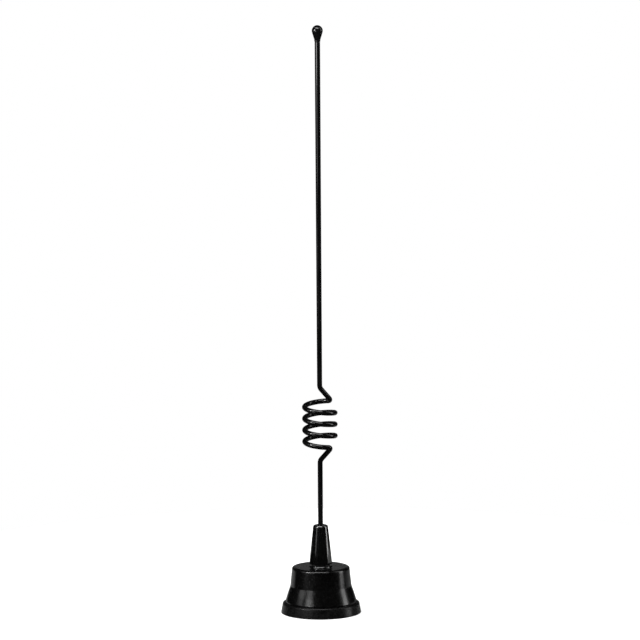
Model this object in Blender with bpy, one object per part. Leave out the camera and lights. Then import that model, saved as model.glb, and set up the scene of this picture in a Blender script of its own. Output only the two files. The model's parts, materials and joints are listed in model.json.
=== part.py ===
"""Roof-mount omnidirectional whip antenna: a one-piece black whip with an open
phasing coil, set in a hex-footed cone ferrule on a bell-shaped coil housing.

Metres, +Z up. The origin is the centre of the gasket's underside, where the
antenna sits on a vehicle's roof. -Y is the front.
"""

import math

import bmesh
import bpy
from mathutils import Matrix, Vector

MM = 0.001
TURN = 2.0 * math.pi

# Clearances between neighbouring pieces
GAP = 0.3 * MM
SEAM = 0.15 * MM  # where a joint line shows from outside

# Whip: straight rod, open coil, straight rod, all one wire with a thick black coat
WHIP_RADIUS = 1.4 * MM
WHIP_TOP_RADIUS = 1.5 * MM  # the coat thickens towards the tip, where it was dipped
BARE_WIRE_RADIUS = 1.27 * MM  # inside the tip ball
WHIP_FOOT = 37.75 * MM
WHIP_TIP = 322.2 * MM
COIL_RADIUS = 8.4 * MM
COIL_PITCH = 6.42 * MM
COIL_TOP = 117.6 * MM
COIL_START = math.radians(40.7)
COIL_END = math.radians(1399.3)
LEG_TOP = 126.0 * MM  # where the legs to the coil leave the rod's line
LEG_FOOT = 85.1 * MM
ROD_BEND = 1.6 * MM
COIL_BEND = 2.4 * MM

# Tip: a ball drawn down to a neck
BALL_RADIUS = 3.05 * MM
BALL_CENTRE = 324.5 * MM
NECK_RADIUS = 1.66 * MM
NECK_FOOT = 318.6 * MM
NECK_TOP = 319.5 * MM

# Ferrule: hexagon bar turned to a cone
FERRULE_FOOT = 26.95 * MM
FERRULE_TOP = 49.0 * MM
FERRULE_TOP_RADIUS = 4.05 * MM
FERRULE_SLOPE = 0.1073  # radius lost per unit of height
FERRULE_FLATS = 10.9 * MM
FERRULE_TOP_FILLET = 1.1 * MM
FERRULE_TURNED = math.radians(8.0)  # one flat faces this far to the right of the front
WHIP_BORE_FOOT = 36.95 * MM
STUD_HOLE_TOP = 34.55 * MM
SET_SCREW_RADIUS = 1.42 * MM
SET_SCREW_LENGTH = 2.6 * MM
SET_SCREW_HEIGHTS = {"set_screw_lower": 41.4 * MM, "set_screw_upper": 45.8 * MM}

# 5/16-24 stud through the housing's top
STUD_PITCH = 25.4 * MM / 24
STUD_CREST = 3.97 * MM
STUD_CORE = 3.4 * MM
STUD_BOTTOM = 17.95 * MM
STUD_TOP = 33.35 * MM
FLANGE_RADIUS = 6.2 * MM
FLANGE_FOOT = 24.85 * MM  # let into the housing's top
FLANGE_TOP = 26.25 * MM

# Housing
HOUSING_TOP = 25.65 * MM
TOP_FLAT_RADIUS = 14.1 * MM
RIM_HEIGHT = 25.3 * MM  # the top falls away a little from its flat to its rim
RIM_RADIUS = 15.88 * MM
RECESS_RADIUS = 6.35 * MM  # for the stud's flange
RECESS_FOOT = 24.7 * MM
CREASE_HEIGHT = 15.0 * MM
CREASE_RADIUS = 16.93 * MM
BAND_TOP = 6.6 * MM
BAND_RADIUS = 19.65 * MM
BAND_BORE = 16.5 * MM
SHOULDER_HEIGHT = 11.6 * MM
CAVITY_FOOT_RADIUS = 14.6 * MM
CAVITY_TOP_RADIUS = 13.9 * MM
CEILING = 23.1 * MM

# 1-1/8-18 mount ring and the gasket around it
MOUNT_PITCH = 25.4 * MM / 18
MOUNT_MAJOR = 14.29 * MM
MOUNT_MINOR = 13.53 * MM
RING_FOOT = 1.5 * MM
RING_TOP = 9.0 * MM
RING_LIP_RADIUS = 12.6 * MM
RING_LIP_FOOT = 8.0 * MM
GASKET_RADIUS = 22.1 * MM
GASKET_TOP_RADIUS = 21.1 * MM
GASKET_INSIDE = 19.9 * MM
GASKET_HEIGHT = 5.8 * MM
GASKET_FLOOR = 1.2 * MM
GASKET_BORE = 16.5 * MM

# Inside the housing
DISC_THICKNESS = 2.0 * MM
FORM_HEIGHT = 4.6 * MM
FORM_DRUM = 8.3 * MM
WINDING_WIRE = 0.3 * MM
WINDING_TURNS = 2.5
LEAD_WIRE = 0.4 * MM
CONTACT_TIP = 3.5 * MM
SLEEVE_FOOT = 6.2 * MM
SLEEVE_CAVITY_FOOT = 7.1 * MM
SLEEVE_CAVITY_TOP = 14.2 * MM
SLEEVE_BORE = 2.3 * MM
SPRING_WIRE = 0.2 * MM
SPRING_TURNS = 5.5

# Facets round a full circle
FINE = 48
MEDIUM = 32
SMALL = 24
THREAD = 16

DISC_FOOT = RING_TOP + GAP
DISC_TOP = DISC_FOOT + DISC_THICKNESS
FORM_FOOT = DISC_TOP + GAP
FORM_TOP = FORM_FOOT + FORM_HEIGHT

# colour, roughness, metallic
FINISHES = {
    "black_coat": ((0.012, 0.012, 0.012), 0.3, 0.0),
    "black_plating": ((0.02, 0.02, 0.02), 0.22, 0.9),
    "housing_plastic": ((0.014, 0.014, 0.014), 0.28, 0.0),
    "rubber": ((0.02, 0.02, 0.02), 0.6, 0.0),
    "screw_steel": ((0.06, 0.06, 0.06), 0.35, 1.0),
    "zinc_steel": ((0.62, 0.62, 0.64), 0.3, 1.0),
    "brass": ((0.78, 0.58, 0.27), 0.25, 1.0),
    "nickel": ((0.7, 0.69, 0.66), 0.2, 1.0),
    "copper_enamel": ((0.55, 0.2, 0.07), 0.3, 1.0),
    "tinned_copper": ((0.72, 0.72, 0.7), 0.3, 1.0),
    "form_plastic": ((0.75, 0.72, 0.64), 0.5, 0.0),
    "disc_plastic": ((0.8, 0.78, 0.7), 0.45, 0.0),
}


def finish(name):
    """The node's own material, in the named finish."""
    colour, roughness, metallic = FINISHES[name]
    material = bpy.data.materials.new(name)
    material.use_nodes = True
    shader = material.node_tree.nodes["Principled BSDF"]
    shader.inputs["Base Color"].default_value = (*colour, 1.0)
    shader.inputs["Roughness"].default_value = roughness
    shader.inputs["Metallic"].default_value = metallic
    return material


def placed(name, data, material, at=(0.0, 0.0, 0.0)):
    """A new object in the scene. With no material it is a cutter or a helper."""
    item = bpy.data.objects.new(name, data)
    item.location = at
    bpy.context.scene.collection.objects.link(item)
    if material:
        data.materials.append(finish(material))
    else:
        item.hide_render = True
        item.display_type = "WIRE"
    return item


def smooth_mesh(name, shape):
    """A mesh from a bmesh, its faces pointing out and its round faces smooth."""
    bmesh.ops.recalc_face_normals(shape, faces=shape.faces)
    mesh = bpy.data.meshes.new(name)
    shape.to_mesh(mesh)
    shape.free()
    mesh.shade_smooth()
    mesh.set_sharp_from_angle(angle=math.radians(32))
    return mesh


def arc(centre, radius, start, end, steps):
    """Points (r, z) along an arc, both ends included."""
    angles = [start + (end - start) * step / steps for step in range(steps + 1)]
    return [(centre[0] + radius * math.cos(a), centre[1] + radius * math.sin(a)) for a in angles]


def rounded(corners, steps=4):
    """An outline (r, z) from corners (r, z) or (r, z, fillet radius)."""
    points = []
    for index, corner in enumerate(corners):
        here = Vector(corner[:2])
        if len(corner) == 2:
            points.append(here)
            continue
        before = (Vector(corners[index - 1][:2]) - here).normalized()
        after = (Vector(corners[(index + 1) % len(corners)][:2]) - here).normalized()
        half = before.angle(after) / 2
        reach = corner[2] / math.tan(half)
        centre = here + (before + after).normalized() * corner[2] / math.sin(half)
        first = here + before * reach - centre
        turn = first.angle_signed(here + after * reach - centre)
        for step in range(steps + 1):
            points.append(centre + Matrix.Rotation(-turn * step / steps, 2) @ first)
    return points


def spun(name, outline, material, segments, at=(0.0, 0.0, 0.0)):
    """A turned piece. The outline (r, z) is closed, or runs from the axis to the axis."""
    shape = bmesh.new()
    ring = [shape.verts.new((point[0], 0.0, point[1])) for point in outline]
    on_axis = outline[0][0] == 0.0
    pairs = list(zip(ring, ring[1:] if on_axis else ring[1:] + ring[:1]))
    edges = [shape.edges.new(pair) for pair in pairs]
    bmesh.ops.spin(
        shape, geom=ring + edges, cent=(0, 0, 0), axis=(0, 0, 1),
        angle=TURN, steps=segments, use_merge=True,
    )
    bmesh.ops.remove_doubles(shape, verts=shape.verts, dist=1e-7)
    return placed(name, smooth_mesh(name, shape), material, at)


def prism(name, radius, bottom, top, material=None, sides=6, turned=0.0):
    """An upright prism, one corner at the angle turned from +X."""
    shape = bmesh.new()
    bmesh.ops.create_cone(
        shape, cap_ends=True, segments=sides, radius1=radius, radius2=radius, depth=top - bottom
    )
    item = placed(name, smooth_mesh(name, shape), material, (0.0, 0.0, (bottom + top) / 2))
    # create_cone puts its first corner on +Y
    item.rotation_euler.z = turned - math.pi / 2
    return item


def block(name, low, high):
    """A plain box between two corners, as a helper."""
    shape = bmesh.new()
    bmesh.ops.create_cube(shape, size=1.0)
    size = [b - a for a, b in zip(low, high)]
    bmesh.ops.scale(shape, vec=size, verts=shape.verts)
    centre = [(a + b) / 2 for a, b in zip(low, high)]
    return placed(name, smooth_mesh(name, shape), None, centre)


def combine(item, operation, *others):
    """Boolean modifiers on item, one for each helper."""
    for other in others:
        modifier = item.modifiers.new(f"{operation.lower()} {other.name}", "BOOLEAN")
        modifier.operation = operation
        modifier.object = other


def thread_ridge(name, root, crest, pitch, bottom, top, start, segments=THREAD):
    """A right-hand thread's ridge from root to crest radius, as a helper.

    The ridge's middle is at height start (mod pitch) on +X. It is set into the
    wall behind its root, so that a union joins the two cleanly.
    """
    sunk = root + math.copysign(0.25 * MM, root - crest)
    half_root, half_crest = 0.36 * pitch, 0.07 * pitch
    # facets start part of a facet round, so that no edge meets an edge of the wall
    skew = 0.4 / segments
    low = start + (math.ceil((bottom + half_root - start) / pitch) + skew) * pitch
    turns = (top - half_root - low) / pitch
    steps = int(turns * segments)
    shape = bmesh.new()
    profile = [(sunk, -half_root), (crest, -half_crest), (crest, half_crest), (sunk, half_root)]
    across, along = math.cos(TURN * skew), math.sin(TURN * skew)
    ring = [shape.verts.new((r * across, r * along, low + z)) for r, z in profile]
    edges = [shape.edges.new(pair) for pair in zip(ring, ring[1:] + ring[:1])]
    bmesh.ops.spin(
        shape, geom=ring + edges, cent=(0, 0, 0), axis=(0, 0, 1),
        dvec=(0, 0, pitch / segments), angle=TURN * steps / segments, steps=steps,
    )
    bmesh.ops.holes_fill(shape, edges=[edge for edge in shape.edges if edge.is_boundary])
    return placed(name, smooth_mesh(name, shape), None)


def wire(name, points, radius, material, resolution=2, first_radii=()):
    """A round wire along a path, its ends closed. Its first points may have radii of their own."""
    curve = bpy.data.curves.new(name, "CURVE")
    curve.dimensions = "3D"
    curve.bevel_depth = radius
    curve.bevel_resolution = resolution
    curve.use_fill_caps = True
    spline = curve.splines.new("POLY")
    spline.points.add(len(points) - 1)
    for target, point in zip(spline.points, points):
        target.co = (*point, 1.0)
    for target, own_radius in zip(spline.points, first_radii):
        target.radius = own_radius / radius
    return placed(name, curve, material)


def blend(start, heading_in, end, heading_out, steps=5):
    """Points strictly between two ends, on a curve that leaves and arrives on the headings."""
    reach = (Vector(end) - Vector(start)).length * 1.15
    a, b = Vector(start), Vector(end)
    u, v = Vector(heading_in).normalized() * reach, Vector(heading_out).normalized() * reach
    points = []
    for step in range(1, steps):
        t = step / steps
        points.append(
            a * (2 * t**3 - 3 * t**2 + 1) + u * (t**3 - 2 * t**2 + t)
            + b * (3 * t**2 - 2 * t**3) + v * (t**3 - t**2)
        )
    return points


def helix(radius, start, end, top, pitch, per_turn):
    """Points on a helix about Z that sinks by pitch each turn from height top."""
    steps = max(1, round(abs(end - start) / TURN * per_turn))
    points = []
    for step in range(steps + 1):
        angle = start + (end - start) * step / steps
        points.append(Vector((
            radius * math.cos(angle), radius * math.sin(angle),
            top - pitch * abs(angle - start) / TURN,
        )))
    return points


def heading(points, backwards=False):
    """The direction in which a path starts, or ends."""
    return points[-1] - points[-2] if backwards else points[1] - points[0]


# ---------------------------------------------------------------- whip and tip


def make_whip():
    """One wire: rod, leg out, open coil, leg back to the axis, rod."""
    trim = COIL_BEND / COIL_RADIUS
    drop = COIL_PITCH * trim / TURN
    coil = helix(COIL_RADIUS, COIL_START + trim, COIL_END - trim, COIL_TOP - drop, COIL_PITCH, 20)
    coil_foot = COIL_TOP - COIL_PITCH * (COIL_END - COIL_START) / TURN

    def leg(angle, coil_height, axis_height):
        """A straight leg from near the axis to near the coil, cut back for its bends."""
        outer = Vector((COIL_RADIUS * math.cos(angle), COIL_RADIUS * math.sin(angle), coil_height))
        inner = Vector((0.0, 0.0, axis_height))
        along = (outer - inner).normalized()
        return inner + along * ROD_BEND, outer - along * COIL_BEND, along

    down = Vector((0.0, 0.0, -1.0))
    top_in, top_out, top_along = leg(COIL_START, COIL_TOP, LEG_TOP)
    foot_in, foot_out, foot_along = leg(COIL_END, coil_foot, LEG_FOOT)
    rod_end = Vector((0.0, 0.0, LEG_TOP + ROD_BEND))
    rod_start = Vector((0.0, 0.0, LEG_FOOT - ROD_BEND))
    coat_top = NECK_FOOT - SEAM
    path = [Vector((0.0, 0.0, height)) for height in (WHIP_TIP, coat_top + 0.1 * MM, coat_top)]
    path.append(rod_end)
    path += blend(rod_end, down, top_in, top_along)
    path += [top_in, top_out]
    path += blend(top_out, top_along, coil[0], heading(coil))
    path += coil
    path += blend(coil[-1], heading(coil, True), foot_out, -foot_along)
    path += [foot_out, foot_in]
    path += blend(foot_in, -foot_along, rod_start, down)
    path += [rod_start, Vector((0.0, 0.0, WHIP_FOOT))]
    top_radii = (BARE_WIRE_RADIUS, BARE_WIRE_RADIUS, WHIP_TOP_RADIUS)
    return wire("whip", path, WHIP_RADIUS, "black_coat", resolution=3, first_radii=top_radii)


def make_tip_ball():
    """A ball drawn down to a neck, with a blind hole for the whip's end."""
    bore = BARE_WIRE_RADIUS + SEAM
    away = math.hypot(NECK_RADIUS, BALL_CENTRE - NECK_TOP)
    below = math.atan2(NECK_TOP - BALL_CENTRE, NECK_RADIUS)
    tangent = below + math.acos(BALL_RADIUS / away)
    outline = [(0.0, WHIP_TIP + GAP), (bore, WHIP_TIP + GAP), (bore, NECK_FOOT),
               (NECK_RADIUS, NECK_FOOT), (NECK_RADIUS, NECK_TOP)]
    outline += arc((0.0, BALL_CENTRE), BALL_RADIUS, tangent, math.pi / 2, 9)[:-1]
    outline += [(0.0, BALL_CENTRE + BALL_RADIUS)]
    return spun("tip_ball", outline, "black_coat", SMALL)


# -------------------------------------------------------- ferrule and its screws


def make_ferrule():
    """Hexagon bar turned to a cone, bored for the whip and tapped for the stud."""
    corner = FERRULE_FLATS / math.sqrt(3)
    # a corner lies 30 degrees round from the flat that almost faces the front
    turned = -math.pi / 2 + FERRULE_TURNED + math.pi / 6
    ferrule = prism("ferrule", corner, FERRULE_FOOT, FERRULE_TOP, "black_plating", turned=turned)
    below = FERRULE_FOOT - 1.0 * MM
    cone = spun("ferrule_cone", rounded([
        (0.0, below),
        (FERRULE_TOP_RADIUS + FERRULE_SLOPE * (FERRULE_TOP - below), below),
        (FERRULE_TOP_RADIUS, FERRULE_TOP - 0.01 * MM, FERRULE_TOP_FILLET),
        (0.0, FERRULE_TOP - 0.01 * MM),
    ]), None, MEDIUM)
    whip_bore = prism(
        "whip_bore", WHIP_RADIUS + 0.2 * MM, WHIP_BORE_FOOT, FERRULE_TOP + 1.0 * MM, sides=SMALL
    )
    stud_hole = prism(
        "stud_hole", STUD_CREST + 0.33 * MM, FERRULE_FOOT - 1.0 * MM, STUD_HOLE_TOP, sides=THREAD
    )
    ridge = thread_ridge(
        "ferrule_thread", STUD_CREST + 0.33 * MM, STUD_CORE + 0.35 * MM, STUD_PITCH,
        FERRULE_FOOT + 0.2 * MM, STUD_HOLE_TOP - 0.6 * MM, STUD_PITCH / 2,
    )
    combine(ferrule, "INTERSECT", cone)
    combine(ferrule, "DIFFERENCE", whip_bore, stud_hole)
    for name, height in SET_SCREW_HEIGHTS.items():
        hole = prism(f"{name}_hole", SET_SCREW_RADIUS + 0.2 * MM, 0.0, 8.0 * MM, sides=SMALL)
        hole.location = (0.0, 4.0 * MM, height)
        hole.rotation_euler = (math.pi / 2, 0.0, 0.0)
        combine(ferrule, "DIFFERENCE", hole)
    combine(ferrule, "UNION", ridge)
    return ferrule


def make_set_screw(name, height):
    """A headless hex-socket screw on a radial axis at the back of the ferrule."""
    end = SET_SCREW_LENGTH
    bevel = 0.3 * MM
    screw = spun(name, [
        (0.0, 0.0), (SET_SCREW_RADIUS - 2 * bevel, 0.0), (SET_SCREW_RADIUS, 2 * bevel),
        (SET_SCREW_RADIUS, end - bevel), (SET_SCREW_RADIUS - bevel, end), (0.0, end),
    ], "screw_steel", SMALL)
    socket = prism(f"{name}_socket", 0.73 * MM, end - 1.3 * MM, end + 1.0 * MM)
    socket.parent = screw
    combine(screw, "DIFFERENCE", socket)
    screw.location = (0.0, WHIP_RADIUS + SEAM, height)
    screw.rotation_euler = (-math.pi / 2, 0.0, 0.0)
    return screw


# ------------------------------------------------------------ stud through the top


def make_top_stud():
    """A flange between two threaded ends, grooved underneath for its seal."""
    under = FLANGE_FOOT
    groove_top = under + 0.6 * MM
    chamfer = 0.4 * MM
    stud = spun("top_stud", [
        (0.0, STUD_BOTTOM), (STUD_CORE - chamfer, STUD_BOTTOM), (STUD_CORE, STUD_BOTTOM + chamfer),
        (STUD_CORE, STUD_TOP - chamfer), (STUD_CORE - chamfer, STUD_TOP), (0.0, STUD_TOP),
    ], "black_plating", THREAD)
    inside = STUD_CORE - MM
    flange = spun("stud_flange", rounded([
        (inside, under), (4.5 * MM, under), (4.5 * MM, groove_top), (5.5 * MM, groove_top),
        (5.5 * MM, under), (FLANGE_RADIUS, under), (FLANGE_RADIUS, FLANGE_TOP, 0.45 * MM),
        (inside, FLANGE_TOP),
    ]), None, MEDIUM)
    upper = thread_ridge("stud_thread_upper", STUD_CORE, STUD_CREST, STUD_PITCH,
                         FLANGE_TOP + 0.3 * MM, STUD_TOP - 0.5 * MM, 0.0)
    lower = thread_ridge("stud_thread_lower", STUD_CORE, STUD_CREST, STUD_PITCH,
                         STUD_BOTTOM + 0.5 * MM, CEILING, 0.0)
    combine(stud, "UNION", flange, upper, lower)
    return stud


def make_stud_stack():
    """Seal above the housing's top, washer, solder lug and nut below it."""
    seal_radius = 0.29 * MM
    seal_height = RECESS_FOOT + 0.06 * MM + seal_radius
    spun("stud_seal", arc((5.0 * MM, seal_height), seal_radius, 0.0, TURN, 6)[:-1], "rubber", SMALL)
    clear = STUD_CREST + 0.33 * MM
    washer_top = CEILING - GAP
    washer_foot = washer_top - 0.6 * MM
    spun("stud_washer", [(clear, washer_foot), (7.5 * MM, washer_foot), (7.5 * MM, washer_top),
                         (clear, washer_top)], "zinc_steel", MEDIUM)
    lug_top = washer_foot - GAP
    lug_foot = lug_top - 0.4 * MM
    lug = spun("solder_lug", [(clear, lug_foot), (6.6 * MM, lug_foot), (6.6 * MM, lug_top),
                              (clear, lug_top)], "tinned_copper", MEDIUM)
    # one tongue over the feed lead, the other over the winding's end
    front = block("lug_tongue_feed", (5.8 * MM, -1.3 * MM, lug_foot), (10.2 * MM, 1.3 * MM, lug_top))
    back = block("lug_tongue_coil", (-12.2 * MM, -1.1 * MM, lug_foot), (-5.8 * MM, 1.1 * MM, lug_top))
    combine(lug, "UNION", front, back)
    nut_top = lug_foot - GAP
    make_stud_nut(nut_top - 2.7 * MM, nut_top, clear)
    return lug_foot


def make_stud_nut(foot, top, hole):
    """A chamfered hexagon nut."""
    corner = 11.1 * MM / math.sqrt(3)
    nut = prism("stud_nut", corner, foot, top, "zinc_steel")
    chamfer = 0.35 * MM
    past = 0.01 * MM
    turned = spun("nut_chamfer", [
        (0.0, foot + past), (corner - 2 * chamfer, foot + past), (corner + past, foot + chamfer),
        (corner + past, top - chamfer), (corner - 2 * chamfer, top - past), (0.0, top - past),
    ], None, MEDIUM)
    bore = prism("nut_bore", hole, foot - MM, top + MM, sides=THREAD)
    ridge = thread_ridge("nut_thread", hole, STUD_CORE + 0.35 * MM, STUD_PITCH,
                         foot + 0.1 * MM, top - 0.1 * MM, STUD_PITCH / 2)
    combine(nut, "INTERSECT", turned)
    combine(nut, "DIFFERENCE", bore)
    combine(nut, "UNION", ridge)


# ----------------------------------------------------------- housing and mount ring


def make_housing():
    """A bell open below: flared skirt, tapered drum, flat top with a recess and hole for the stud."""
    hole = STUD_CREST + 0.33 * MM
    return spun("housing", rounded([
        (BAND_BORE, RING_FOOT), (BAND_RADIUS, RING_FOOT), (BAND_RADIUS, BAND_TOP),
        (CREASE_RADIUS, CREASE_HEIGHT), (RIM_RADIUS, RIM_HEIGHT, 0.95 * MM),
        (TOP_FLAT_RADIUS, HOUSING_TOP), (RECESS_RADIUS, HOUSING_TOP), (RECESS_RADIUS, RECESS_FOOT),
        (hole, RECESS_FOOT), (hole, CEILING), (CAVITY_TOP_RADIUS, CEILING),
        (CAVITY_FOOT_RADIUS, SHOULDER_HEIGHT), (BAND_BORE, SHOULDER_HEIGHT),
    ]), "housing_plastic", FINE)


def make_roof_gasket():
    """A rubber foot: a floor under the housing and a rounded wall round it."""
    return spun("roof_gasket", rounded([
        (GASKET_BORE, 0.0), (GASKET_RADIUS, 0.0), (GASKET_TOP_RADIUS, GASKET_HEIGHT, 1.1 * MM),
        (GASKET_INSIDE, GASKET_HEIGHT), (GASKET_INSIDE, GASKET_FLOOR), (GASKET_BORE, GASKET_FLOOR),
    ]), "rubber", FINE)


def make_threaded_ring():
    """The brass ring that screws onto a 1-1/8-18 mount, with a lip as its stop."""
    outer = BAND_BORE - GAP
    lead_in = 0.5 * MM
    ring = spun("threaded_ring", [
        (MOUNT_MAJOR, RING_FOOT + lead_in), (MOUNT_MAJOR + lead_in, RING_FOOT), (outer, RING_FOOT),
        (outer, RING_TOP), (RING_LIP_RADIUS, RING_TOP), (RING_LIP_RADIUS, RING_LIP_FOOT),
        (MOUNT_MAJOR, RING_LIP_FOOT),
    ], "brass", MEDIUM)
    ridge = thread_ridge("ring_thread", MOUNT_MAJOR, MOUNT_MINOR, MOUNT_PITCH,
                         RING_FOOT + lead_in, RING_LIP_FOOT - 0.2 * MM, 0.0, SMALL)
    combine(ring, "UNION", ridge)
    return ring


# ------------------------------------------------------------------- inner circuit


def make_base_disc(lead_at):
    """The insulating disc between the ring and the housing's shoulder."""
    outer = BAND_BORE - GAP
    bore = 3.3 * MM
    disc = spun("base_disc", [(bore, DISC_FOOT), (outer, DISC_FOOT), (outer, DISC_TOP),
                              (bore, DISC_TOP)], "disc_plastic", MEDIUM)
    hole = prism("lead_hole", WINDING_WIRE + GAP, DISC_FOOT - MM, DISC_TOP + MM, sides=8)
    hole.location.x, hole.location.y = lead_at
    combine(disc, "DIFFERENCE", hole)


def make_coil_form():
    """A bobbin standing on the disc."""
    flange = 0.7 * MM
    rim, bore = 10.2 * MM, 5.3 * MM
    return spun("coil_form", [
        (bore, FORM_FOOT), (rim, FORM_FOOT), (rim, FORM_FOOT + flange), (FORM_DRUM, FORM_FOOT + flange),
        (FORM_DRUM, FORM_TOP - flange), (rim, FORM_TOP - flange), (rim, FORM_TOP), (bore, FORM_TOP),
    ], "form_plastic", MEDIUM)


def make_winding_and_ground(lug_foot, lead_at):
    """The matching coil from the solder lug down to its tail, and the lead from there to the ring."""
    mean = FORM_DRUM + GAP + WINDING_WIRE
    tail = 11.3 * MM
    bend = 0.9 * MM
    top, foot = FORM_TOP - 1.1 * MM, FORM_FOOT + 1.1 * MM
    pitch = (top - foot) / WINDING_TURNS
    trim = bend / mean
    start, end = math.pi + trim, math.pi + TURN * WINDING_TURNS - trim
    turns = helix(mean, start, end, top - pitch * trim / TURN, pitch, 20)
    down, inward = Vector((0, 0, -1)), Vector((1, 0, 0))
    riser = Vector((-tail, 0, lug_foot - GAP))
    riser_foot = Vector((-tail, 0, top + bend))
    run = Vector((-tail + bend, 0, top))
    run_end = Vector((-mean - bend, 0, top))
    out = Vector((mean + bend, 0, foot))
    out_end = Vector((tail + bend, 0, foot))
    path = [riser, riser_foot] + blend(riser_foot, down, run, inward, 4) + [run, run_end]
    path += blend(run_end, inward, turns[0], heading(turns), 4) + turns
    path += blend(turns[-1], heading(turns, True), out, inward, 4) + [out, out_end]
    wire("matching_coil", path, WINDING_WIRE, "copper_enamel", resolution=1)

    x, y = lead_at
    begin = Vector((x - 2.6 * MM, y, foot))
    turn_in = Vector((x - bend, y, foot))
    turn_out = Vector((x, y, foot - bend))
    path = [begin, turn_in] + blend(turn_in, inward, turn_out, down, 4)
    path += [turn_out, Vector((x, y, DISC_FOOT))]
    wire("ground_lead", path, WINDING_WIRE, "tinned_copper", resolution=1)


def make_feed_lead(post_top, lug_foot):
    """A stiff wire from the contact's post, over the bobbin and up to the lug."""
    level = FORM_TOP + 0.75 * MM
    bend = 0.9 * MM
    across = 9.0 * MM
    up, out = Vector((0, 0, 1)), Vector((1, 0, 0))
    foot = Vector((0, 0, post_top + GAP))
    near, far = Vector((0.5 * MM, 0, level)), Vector((across - bend, 0, level))
    rise = Vector((across, 0, level + bend))
    path = [foot] + blend(foot, up, near, out, 4) + [near, far]
    path += blend(far, out, rise, up, 4) + [rise, Vector((across, 0, lug_foot - GAP))]
    wire("feed_lead", path, LEAD_WIRE, "tinned_copper", resolution=1)


def make_contact():
    """Sleeve riveted through the disc, with the sprung pin that meets the mount's centre."""
    lip, tube = 1.8 * MM, 3.0 * MM
    rivet, rivet_top = 3.9 * MM, DISC_TOP + GAP + 0.6 * MM
    head, head_top = 4.5 * MM, DISC_FOOT - GAP
    roof = SLEEVE_CAVITY_TOP + 0.8 * MM
    post_top = FORM_TOP - 0.2 * MM
    spun("contact_sleeve", [
        (0.0, SLEEVE_CAVITY_TOP), (SLEEVE_BORE, SLEEVE_CAVITY_TOP), (SLEEVE_BORE, SLEEVE_CAVITY_FOOT),
        (lip, SLEEVE_CAVITY_FOOT), (lip, SLEEVE_FOOT), (tube, SLEEVE_FOOT),
        (tube, head_top - 0.7 * MM), (head, head_top - 0.7 * MM), (head, head_top),
        (tube, head_top), (tube, DISC_TOP + GAP), (rivet, DISC_TOP + GAP), (rivet, rivet_top),
        (tube, rivet_top), (tube, roof), (0.8 * MM, roof), (0.8 * MM, post_top), (0.0, post_top),
    ], "brass", SMALL)
    shank, shoulder, spigot = 1.5 * MM, 2.0 * MM, 1.1 * MM
    seat = SLEEVE_CAVITY_FOOT + GAP
    shoulder_top = seat + 1.0 * MM
    pin = spun("contact_pin", rounded([
        (0.0, 0.0), (shank, 0.0, 0.3 * MM), (shank, seat - CONTACT_TIP),
        (shoulder, seat - CONTACT_TIP), (shoulder, shoulder_top - CONTACT_TIP),
        (spigot, shoulder_top - CONTACT_TIP), (spigot, shoulder_top + 2.2 * MM - CONTACT_TIP, 0.3 * MM),
        (0.0, shoulder_top + 2.2 * MM - CONTACT_TIP),
    ], steps=2), "nickel", SMALL, (0.0, 0.0, CONTACT_TIP))
    pin.parent = bpy.data.objects["contact_sleeve"]
    top = SLEEVE_CAVITY_TOP - 0.1 * MM - SPRING_WIRE
    foot = shoulder_top + 0.1 * MM + SPRING_WIRE
    coil = helix(1.75 * MM, 0.0, TURN * SPRING_TURNS, top, (top - foot) / SPRING_TURNS, 12)
    wire("contact_spring", coil, SPRING_WIRE, "zinc_steel", resolution=1)
    return post_top


# ---------------------------------------------------------------------- the antenna


def main():
    for item in list(bpy.data.objects):
        bpy.data.objects.remove(item, do_unlink=True)
    make_roof_gasket()
    make_housing()
    make_threaded_ring()
    make_top_stud()
    lug_foot = make_stud_stack()
    lead_at = (13.3 * MM, -1.0 * MM)
    make_base_disc(lead_at)
    make_coil_form()
    make_winding_and_ground(lug_foot, lead_at)
    make_feed_lead(make_contact(), lug_foot)

    seal_foot = FLANGE_TOP + 0.1 * MM
    seal_top = FERRULE_FOOT - SEAM
    clear = STUD_CREST + 0.33 * MM
    seal = spun("ferrule_seal", [(clear, seal_foot), (5.2 * MM, seal_foot), (5.2 * MM, seal_top),
                                 (clear, seal_top)], "rubber", MEDIUM)
    ferrule = make_ferrule()
    ferrule.parent = seal
    whip = make_whip()
    whip.parent = ferrule
    whip.matrix_parent_inverse = ferrule.matrix_basis.inverted()
    make_tip_ball().parent = whip
    for name, height in SET_SCREW_HEIGHTS.items():
        screw = make_set_screw(name, height)
        screw.parent = ferrule
        screw.matrix_parent_inverse = ferrule.matrix_basis.inverted()


main()
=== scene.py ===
"""Looks of the roof-mount whip antenna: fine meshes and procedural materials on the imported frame.

Lengths are in metres, Z is up, the base stands on z = 0 and the camera looks from -Y.
"""

import json
import math

import bmesh
import bpy
import numpy as np
from mathutils import Matrix, Vector


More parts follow.
